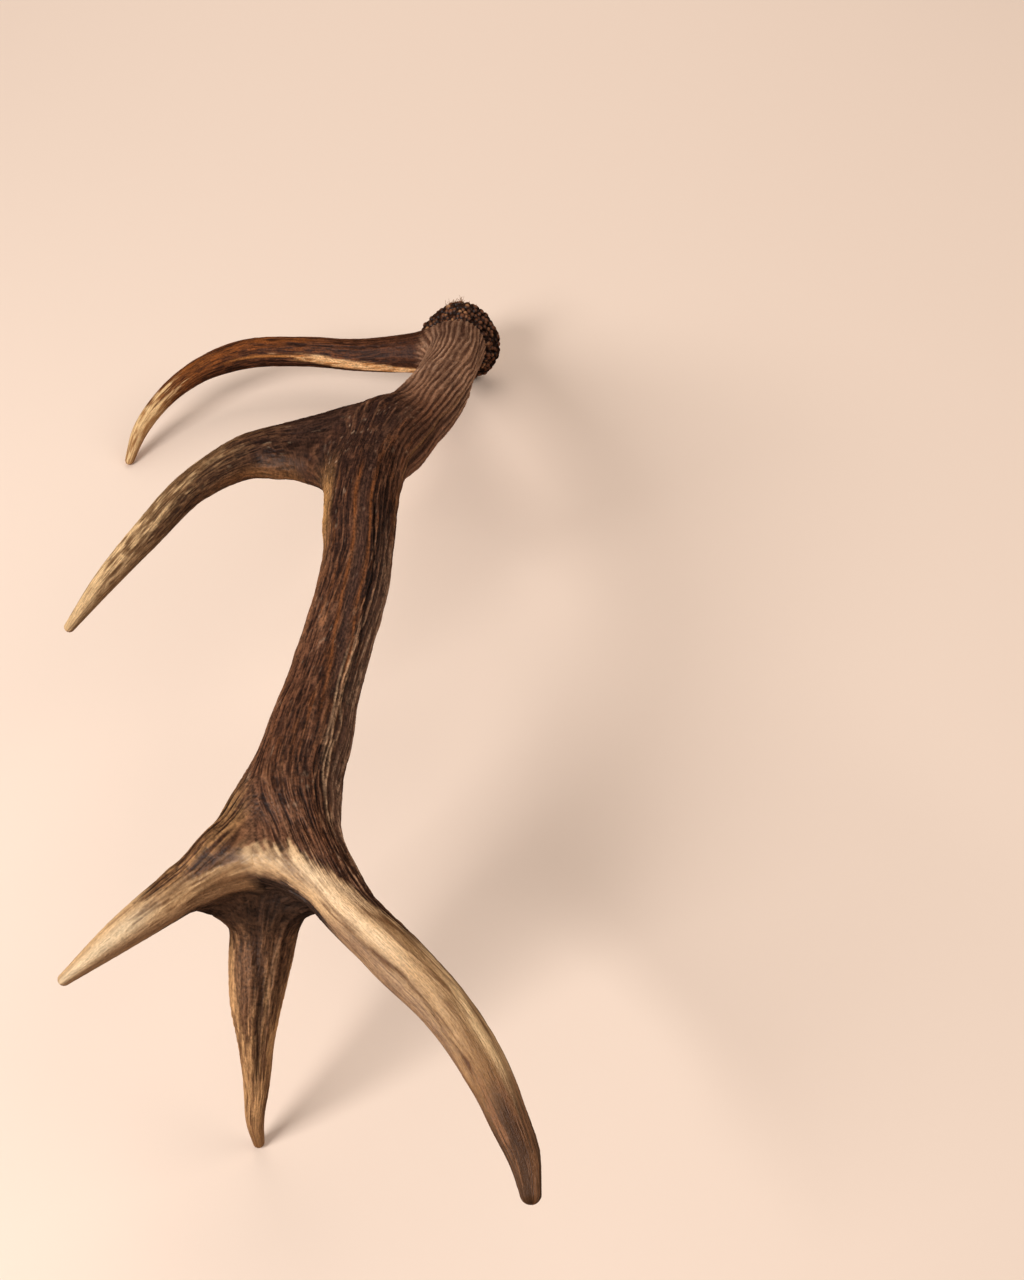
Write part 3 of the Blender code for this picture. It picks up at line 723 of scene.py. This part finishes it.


# ---- Trez tine
# The second tine, half way up the beam. It starts as dark as the beam, turns mottled tan on its upper
# side and ends in an ivory tip, painted darker on its lower side as painted shade.
def trez_skin(s, angle):
    """Furrows that start low in the fork's web and fade towards the tip, and an ivory tip that reaches
    further down the upper side, mottled where it starts."""
    swell, crest, strand, wrinkle, blot = furrows(s, angle, 15, 401)
    turn = np.degrees(angle)
    drift = streaks(s, angle, 5, 40, 441)
    past = s + 0.55 * np.clip(turn + 45, -50, 70) + 12 * drift + 30 * blot + 30 * (wrinkle - 0.5)
    worn_tip = ramp(88, 190, past)
    fade = ramp(0.02, 0.5, 1 - s / trez.length)
    relief = (0.1 + 0.9 * fade) * (0.35 * swell + 0.15 * crest + 0.22 * strand + 0.3 * wrinkle - 0.4)
    relief *= 0.5 + 0.5 * ramp(25, 60, s)
    relief += 1.4 * hump(turn, 22, 45) * ramp(105, 75, s)
    fine = 0.65 * wrinkle + 0.35 * strand
    tops = np.clip(0.15 * crest + 0.3 * strand + 0.5 * wrinkle + 0.15 * swell, 0, 1)
    back_edge = hump(turn, -96, 22) * ramp(130, 80, s) * ramp(20, 45, s)
    brown = stained(mixed("#23110a", "#553624", ramp(0.05, 0.9, tops)), (
        (mixed("#2b1912", "#422a1f", fine), 0.85 * ramp(66, 36, s)),
        (mixed("#4a2f1e", "#8b6444", fine), 0.6 * ramp(75, 110, s)),
        # pale flecks, partly painted sheen
        ("#a08468", 0.45 * flecks(s, angle, 15, 442) * ramp(140, 100, s)),
        ("#8a5c34", 0.6 * back_edge)))
    mottle = 0.5 * blot + 0.5 * streaks(s, angle, 36, 5, 445)
    pale = ramp(-0.55, 0.5, mottle + 0.5 * (fine - 0.45) + 0.006 * (s - 165))
    ivory = stained(mixed("#84603d", "#d9b282", pale), (
        ("#65462c", 0.55 * ramp(0.0, -0.4, mottle + 0.01 * (s - 185))),
        # painted shade on the lower side of the tip
        ("#6f4b2f", 0.75 * ramp(-30, -80, turn + 20 * blot))))
    return np.hstack([relief[:, None], mixed(brown, ivory, worn_tip), 0.9 - 0.3 * worn_tip[:, None]])


grown.append((trez, trez_skin))
points, marks, _ = dressed(trez, columns=192, row_length=1.3)
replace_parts(grid_object("trez_tine_bone", points, marks, bone, "dark_bone"), "trez_tine")


# ---- Front tine of the crown
# The short crown tine that points away to the left. Its rim side and its whole tip are rubbed pale, and
# a few dark streaks run out along its top. The tip is painted lighter on top and darker on its lower
# side and edge, as painted light and shade.
TOP_STREAK = [(60, 22), (78, 23), (89, 26), (99, 20), (114, 12)]
FRONT_STREAK = [(62, -50), (66, -44), (72, -39), (79, -25), (92, -18), (106, -21)]
SPOT_ROW = [(70, -48), (77, -42), (86, -36), (97, -30)]
# The brown-grey band along this line, on the lower edge, is painted shade.
FRONT_EDGE = [(70, -104), (94, -98), (108, -88), (129, -74), (155, -74)]
RUBBED_TO = [(70, -32), (78, -27), (90, -14), (108, 2), (125, 60)]


def front_skin(s, angle):
    """Furrows that fade towards the tip. The rim side is rubbed pale up to a line, and all of the tip,
    with brown streaks as bells along their lines and brown threads along the fibre. On the pale bone, a
    painted highlight along the top of the tip, painted shade on its lower side and along its lower
    edge, and painted shade of the hollow under the rim near the root."""
    swell, crest, strand, wrinkle, blot = furrows(s, angle, 13, 601)
    turn = np.degrees(angle)
    drift = streaks(s, angle, 5, 40, 641)
    side = ramp(8, -8, turn + 14 * blot - line_at(s, RUBBED_TO)) * ramp(-118, -98, turn)
    rubbed = np.clip(side * ramp(58, 72, s) + ramp(108, 128, s + 10 * drift + 12 * blot), 0, 1)
    fade = ramp(0.02, 0.5, 1 - s / front.length)
    relief = ((0.06 + 0.94 * fade) * (1 - 0.55 * rubbed)
              * (0.3 * swell + 0.25 * crest + 0.22 * strand + 0.2 * wrinkle - 0.35))
    fine = 0.6 * wrinkle + 0.4 * strand
    tops = np.clip(0.2 * crest + 0.3 * strand + 0.45 * wrinkle + 0.12 * swell, 0, 1)
    golden = ramp(0.25, 0.8, np.maximum(strand, crest)) * ramp(-24, 0, turn)
    brown = mixed("#2c170d", "#6a452c", ramp(0.05, 0.85, tops))
    brown = mixed(brown, "#a87c4f", 0.6 * golden * (0.4 + 0.6 * wrinkle))
    pale = ramp(-0.5, 0.6, 0.6 * blot + 0.5 * drift + 0.5 * (fine - 0.45)
                + 0.4 * ramp(100, 150, s))
    ivory = stained(mixed("#8a6340", "#d0a677", pale), (
        # painted highlight along the top of the tip
        ("#efd1a8", 0.7 * hump(turn, -24, 30) * ramp(100, 125, s)),
        # painted shade on the lower side
        ("#8a6444", 0.7 * ramp(-42, -76, turn)),
        # painted shade along the lower edge
        ("#76543c", 0.6 * trace(s, turn, FRONT_EDGE, 14, 20) * (0.5 + 0.5 * wrinkle)),
        ("#704b2e", 0.6 * ramp(106, 74, s) * (1 - 0.5 * fine))))
    streak = np.clip(trace(s, turn, TOP_STREAK, 6) + trace(s, turn, FRONT_STREAK, 5)
                     + trace(s, turn, SPOT_ROW, 3.5) * ramp(-0.1, 0.3, blot), 0, 1)
    thread = ramp(0.12, -0.3, blot + 1.1 * ramp(92, 150, s))
    marks = np.clip(0.85 * streak * ramp(-0.55, 0.0, blot) + 0.55 * thread * rubbed, 0, 1)
    # Painted shade of the hollow under the rim, laid on the lower side of the tine's first half.
    under = ramp(-92, -124, turn) * ramp(125, 85, s)
    colour = stained(brown, ((ivory, rubbed), ("#5a3921", marks), ("#3a2519", 0.75 * under)))
    return np.hstack([relief[:, None], colour, 0.9 - 0.5 * rubbed[:, None]])


grown.append((front, front_skin))
points, marks, _ = dressed(front, columns=176, row_length=1.3)
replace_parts(grid_object("front_tine_bone", points, marks, bone, "tan_bone"), "crown_front_tine")


# ---- Middle tine of the crown
# The crown tine that comes down to the floor under the rim. Its root in the hollow under the rim is
# painted dark, as painted shade, and it gets lighter towards its tan tip.
DARK_GROOVE = [(48, 2), (54, -2), (69, -18), (79, -28), (100, -26), (130, -24)]
# The ridge along this line is raised, and its pale colour is partly a painted highlight.
BRIGHT_RIDGE = [(44, -50), (54, -46), (64, -44), (79, -46), (96, -48)]


def middle_skin(s, angle):
    """Furrows that fade towards the tip, one dark groove down the front with a bright ridge beside it
    whose pale colour is partly a painted highlight, a root painted dark as painted shade of the hollow
    under the rim, and brown that turns tan along the left edge and towards the tip."""
    swell, crest, strand, wrinkle, blot = furrows(s, angle, 15, 801)
    turn = np.degrees(angle)
    drift = streaks(s, angle, 5, 40, 841)
    groove = trace(s, turn + 4 * drift, DARK_GROOVE, 9)
    ridge = trace(s, turn + 3 * drift, BRIGHT_RIDGE, 7)
    past = s + 0.5 * np.abs(turn + 25) + 12 * drift + 22 * blot + 12 * (wrinkle - 0.5)
    lighter = ramp(62, 150, past)
    fade = ramp(0.02, 0.4, 1 - s / middle.length)
    relief = ((0.1 + 0.9 * fade) * (0.3 * swell + 0.2 * crest + 0.2 * strand + 0.2 * wrinkle - 0.35)
              - 1.0 * groove + 0.8 * ridge)
    relief += 1.5 * hump(turn, 65, 40) * ramp(36, 48, s) * ramp(115, 85, s)
    left_edge = hump(turn + 6 * blot, 62, 26) * ramp(46, 64, s)
    fine = 0.6 * wrinkle + 0.4 * strand
    tops = np.clip(0.2 * crest + 0.3 * strand + 0.5 * wrinkle + 0.12 * swell - 0.3 * groove, 0, 1)
    brown = stained(mixed("#51331f", "#7f573b", ramp(0.0, 0.95, tops)), (
        # painted shade: the root is darkened where it lies in the hollow under the rim
        ("#2b1910", 0.88 * ramp(62, 38, s)),
        # pale ridge colour, partly a painted highlight on the raised ridge
        ("#a57c5a", 0.6 * ridge * (0.4 + 0.6 * fine) * ramp(50, 60, s))))
    tan = stained(mixed("#7b5536", "#bd8e5f", ramp(-0.6, 0.6, blot + 0.5 * (fine - 0.4))), (
        ("#8e5f38", 0.6 * ramp(150, 185, s)),
        ("#563722", 0.5 * ramp(-0.15, -0.5, blot + 0.007 * (s - 125)))))
    colour = stained(brown, ((tan, np.maximum(lighter, 0.75 * left_edge)), ("#2e1a10", 0.75 * groove)))
    return np.hstack([relief[:, None], colour, 0.95 - 0.35 * lighter[:, None]])


grown.append((middle, middle_skin))
points, marks, _ = dressed(middle, columns=192, row_length=1.3)
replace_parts(grid_object("middle_tine_bone", points, marks, bone, "dark_bone"), "crown_middle_tine")


# ---- Burr
# The knobbly ring at the antler's base, where it sat on the skull: rows of bony pearls, dark in the
# gaps between them and rubbed tan on top.
FACE_RADIUS = 25                                                # of the sawn face inside the ring, mm
# The ring's profile: distance from the sawn face and radius, mm.
BURR_PROFILE = [(0.0, FACE_RADIUS), (1.0, 27.2), (3, 29.5), (6, 31.2), (9.5, 31.8), (13, 30.6),
                (17, 28.2), (21, 25.8), (26, 23.4), (30, 20.5)]
RING_RADIUS = 31                                                # where the pearls are counted, mm
SWELL_AT = [0, 45, 80, 115, 150, 180, 225, 255, 300, 330]       # places round the ring, degrees
SWELL = [2.2, -0.8, 2.8, 1.5, -0.5, -1, 0, 1.8, 0.6, 0.4]       # how far the ring bulges there, mm
PEARL, PEARL_HEIGHT, PEARL_SINK = 3.9, 3.2, 1.3                 # spacing, height and depth set in, mm


def pearls(across, along, count, rows, seed):
    """Height of the pearls from 0 to 1. Each cell of a lattice holds one pearl at a shaken place, and
    a point's height is that of the tallest dome over it: the root of 1 minus the squared distance."""
    random = np.random.default_rng(seed)
    shift = random.uniform(-0.28, 0.28, (rows + 3, count, 2))
    size = random.uniform(0.55, 0.78, (rows + 3, count))
    tall = random.uniform(0.45, 1.0, (rows + 3, count))
    i, j = np.floor(across).astype(int), np.floor(along).astype(int)
    height = np.zeros(across.shape)
    for di in (-1, 0, 1):
        for dj in (-1, 0, 1):
            u, v = (i + di) % count, j + dj + 1
            x = i + di + 0.5 + 0.5 * ((j + dj) % 2) + shift[v, u, 0] - across
            y = j + dj + 0.5 + shift[v, u, 1] - along
            dome = 1 - (x * x + y * y) / size[v, u] ** 2
            height = np.maximum(height, tall[v, u] * np.sqrt(np.clip(dome, 0, 1)))
    return height


def burr_surface(columns, rows):
    """The ring's profile carried round the beam's axis at the base, with slow swells, lumps up to
    0.9 mm and the pearls raised square to it. Also the pearls' height, the angle of each column and
    the way along the profile to each row."""
    centre, _, tangent, up, side = beam.station(np.zeros(1))
    profile = np.array(BURR_PROFILE)
    steps = np.concatenate([[0], np.cumsum(np.linalg.norm(np.diff(profile, axis=0), axis=1))])
    at = np.linspace(0, steps[-1], rows)
    x, r = (np.interp(at, steps, column) for column in profile.T)
    slope_x, slope_r = np.gradient(x, at), np.gradient(r, at)
    angle = np.arange(columns) * 2 * np.pi / columns
    count = round(2 * np.pi * RING_RADIUS / PEARL)
    across = angle / (2 * np.pi) * count * np.ones((rows, 1))
    along = (at / PEARL)[:, None] * np.ones(columns)
    high = pearls(across, along, count, round(steps[-1] / PEARL) + 1, 5)
    swell = np.interp(angle, np.radians(SWELL_AT), SWELL, period=2 * np.pi)
    fade = (ramp(0, 3, at) * ramp(steps[-1], steps[-1] - 8, at))[:, None]
    lumps = streaks(at[:, None] * np.ones(columns), angle * np.ones((rows, 1)), 24, 8, 7)
    out = fade * (PEARL_HEIGHT * high - PEARL_SINK + swell + 0.9 * lumps)
    radius = (r[:, None] + slope_x[:, None] * out)[..., None]
    depth_in = (x[:, None] - slope_r[:, None] * out)[..., None]
    way = up * np.cos(angle)[:, None] + side * np.sin(angle)[:, None]
    return centre + depth_in * tangent + radius * way, high, angle, at


# The same bone in hard knobs, polished by the ground: the eye sees small glints on dark beads.
pearl_bone, pearl_shader = new_material("burr_pearl_bone")
stain_of = add_node(pearl_bone, "ShaderNodeAttribute", {"attribute_name": "stain"})
pearl_bone.node_tree.links.new(stain_of.outputs["Color"], pearl_shader.inputs["Base Color"])
pearl_shader.inputs["Roughness"].default_value = 0.45
pearl_shader.inputs["Specular IOR Level"].default_value = 0.25
burr_points, pearl_height, burr_angle, burr_at = burr_surface(620, 110)
burr_points = np.clip(burr_points, LOW, HIGH)
knob = pearl_height.ravel()
burr_angle = np.broadcast_to(burr_angle, pearl_height.shape).ravel()
burr_at = np.broadcast_to(burr_at[:, None], pearl_height.shape).ravel()
tan_spot = ramp(0.15, 0.6, streaks(burr_at, burr_angle, 50, 4, 901)) * ramp(0.6, 0.95, knob)
burr_stain = mixed("#28150c", "#74472e", ramp(0.45, 0.95, knob))
burr_stain = mixed(burr_stain, "#b08057", 0.85 * tan_spot)
burr_marks = np.hstack([burr_stain, knob[:, None], burr_points.reshape(-1, 3)])
burr = grid_object("burr_pearls", burr_points, burr_marks, pearl_bone, "dark_bone")
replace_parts(burr, "lower_beam")


# ---- Sawn face
# The end of the antler, where it was sawn off the skull: a flat disc of bare grey-cream bone inside
# the ring of pearls, with a denser pale rim, fine brown pores in the middle and the saw's lines.
def flat_noise(x, y, seed):
    """Random field from -1 to 1 over a flat face, its lattice joined by 3t^2-2t^3 both ways."""
    values = np.random.default_rng(seed).uniform(-1, 1, (64, 64))
    a, b = x + 32, y + 32
    i, j = np.floor(a).astype(int), np.floor(b).astype(int)
    u, v = ramp(0, 1, a - i), ramp(0, 1, b - j)
    low = values[i, j] * (1 - u) + values[i + 1, j] * u
    high = values[i, j + 1] * (1 - u) + values[i + 1, j + 1] * u
    return low * (1 - v) + high * v


def sawn_surface(rings, columns):
    """A flat disc over the base that drops 0.8 mm at its edge, with pores 0.3 mm and saw lines 0.1 mm
    deep. The lines are a noise with cells 1 mm wide and 40 mm long. Also each point's share of the
    radius, its tone, its pore and its saw line."""
    centre, _, tangent, up, side = beam.station(np.zeros(1))
    r = np.linspace(0.02, 1, rings)[:, None] * np.ones(columns)
    angle = np.arange(columns) * 2 * np.pi / columns * np.ones((rings, 1))
    x, y = r * np.cos(angle) * FACE_RADIUS, r * np.sin(angle) * FACE_RADIUS
    tone = 0.6 * flat_noise(x / 7, y / 7, 911) + 0.4 * flat_noise(x / 1.5, y / 1.5, 914)
    pore = ramp(0.2, 0.7, flat_noise(x / 1.2, y / 1.2, 912)) * ramp(0.85, 0.4, r)
    saw = flat_noise((x + 0.3 * y) / 40, y - 0.3 * x, 913)
    rise = 0.5 - 0.8 * ramp(0.93, 1.0, r) - 0.3 * pore + 0.1 * saw * ramp(1.0, 0.9, r)
    way = up * np.cos(angle)[..., None] + side * np.sin(angle)[..., None]
    return centre - rise[..., None] * tangent + (r * FACE_RADIUS)[..., None] * way, r, tone, pore, saw


FACE_RINGS, FACE_COLUMNS = 60, 220
face_points, *face_marks = sawn_surface(FACE_RINGS, FACE_COLUMNS)
face_r, face_tone, face_pore, face_saw = (values.ravel() for values in face_marks)
face_stain = stained(mixed("#a58f74", "#cdb899", ramp(-0.7, 0.7, face_tone + 0.4 * face_saw)), (
    ("#e0cdaf", 0.7 * hump(face_r, 0.87, 0.07)),
    ("#6d553f", 0.5 * face_pore),
    ("#3a2014", 0.85 * ramp(0.93, 1.0, face_r + 0.03 * face_tone))))
face_marks = np.hstack([face_stain, np.full((len(face_stain), 1), 0.3), face_points.reshape(-1, 3)])
face_marks = face_marks.reshape(FACE_RINGS, FACE_COLUMNS, -1)
sawn = grid_object("sawn_face_bone", face_points[::-1], face_marks[::-1], bone, "tan_bone")
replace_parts(sawn, "lower_beam")


# ---- Dry fuzz on the burr
# What is left of the skin that grew round the burr: a tuft of thin curled hairs on top of it, tan and
# brittle.
HAIR_POINTS = 7
HAIR_RADIUS = 0.12                                              # a few hairs stuck together, mm


def tuft(count, seed):
    """Hairs from a patch on top of the burr, 3 to 12 mm in from the sawn face: each a line that leans
    from the way up and curls with the square of the share of its length."""
    random = np.random.default_rng(seed)
    centre, _, tangent, up, side = (v[0] for v in beam.station(np.zeros(1)))
    turn = np.radians(random.normal(4, 9, count))[:, None]
    root = (centre + tangent * random.uniform(3, 12, (count, 1))
            + (up * np.cos(turn) + side * np.sin(turn)) * (RING_RADIUS + 1))
    lean = unit(up + 0.7 * random.normal(0, 1, (count, 3)))
    curl = random.normal(0, 1, (count, 3))
    length = random.uniform(1.5, 5, (count, 1))
    share = np.linspace(0, 1, HAIR_POINTS)[:, None, None]
    return root + share * length * lean + share**2 * 1.6 * curl


# Dry skin and hair, dull and tan: soft threads with no shine.
fuzz_fibre, fuzz_shader = new_material("dry_skin_hair")
fuzz_shader.inputs["Base Color"].default_value = linear("#a07450")
fuzz_shader.inputs["Roughness"].default_value = 0.8
fuzz_curve = bpy.data.curves.new("burr_fuzz", "CURVE")
fuzz_curve.dimensions = "3D"
fuzz_curve.bevel_depth = HAIR_RADIUS * 0.001
fuzz_curve.bevel_resolution = 0
fuzz_curve.use_fill_caps = True
for hair in (tuft(90, 921) * 0.001).transpose(1, 0, 2):
    spline = fuzz_curve.splines.new("POLY")
    spline.points.add(HAIR_POINTS - 1)
    spline.points.foreach_set("co", np.hstack([hair, np.ones((HAIR_POINTS, 1))]).ravel())
fuzz_curve.materials.append(fuzz_fibre)
fuzz = bpy.data.objects.new("burr_fuzz", fuzz_curve)
bpy.context.collection.objects.link(fuzz)
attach(fuzz, "root")
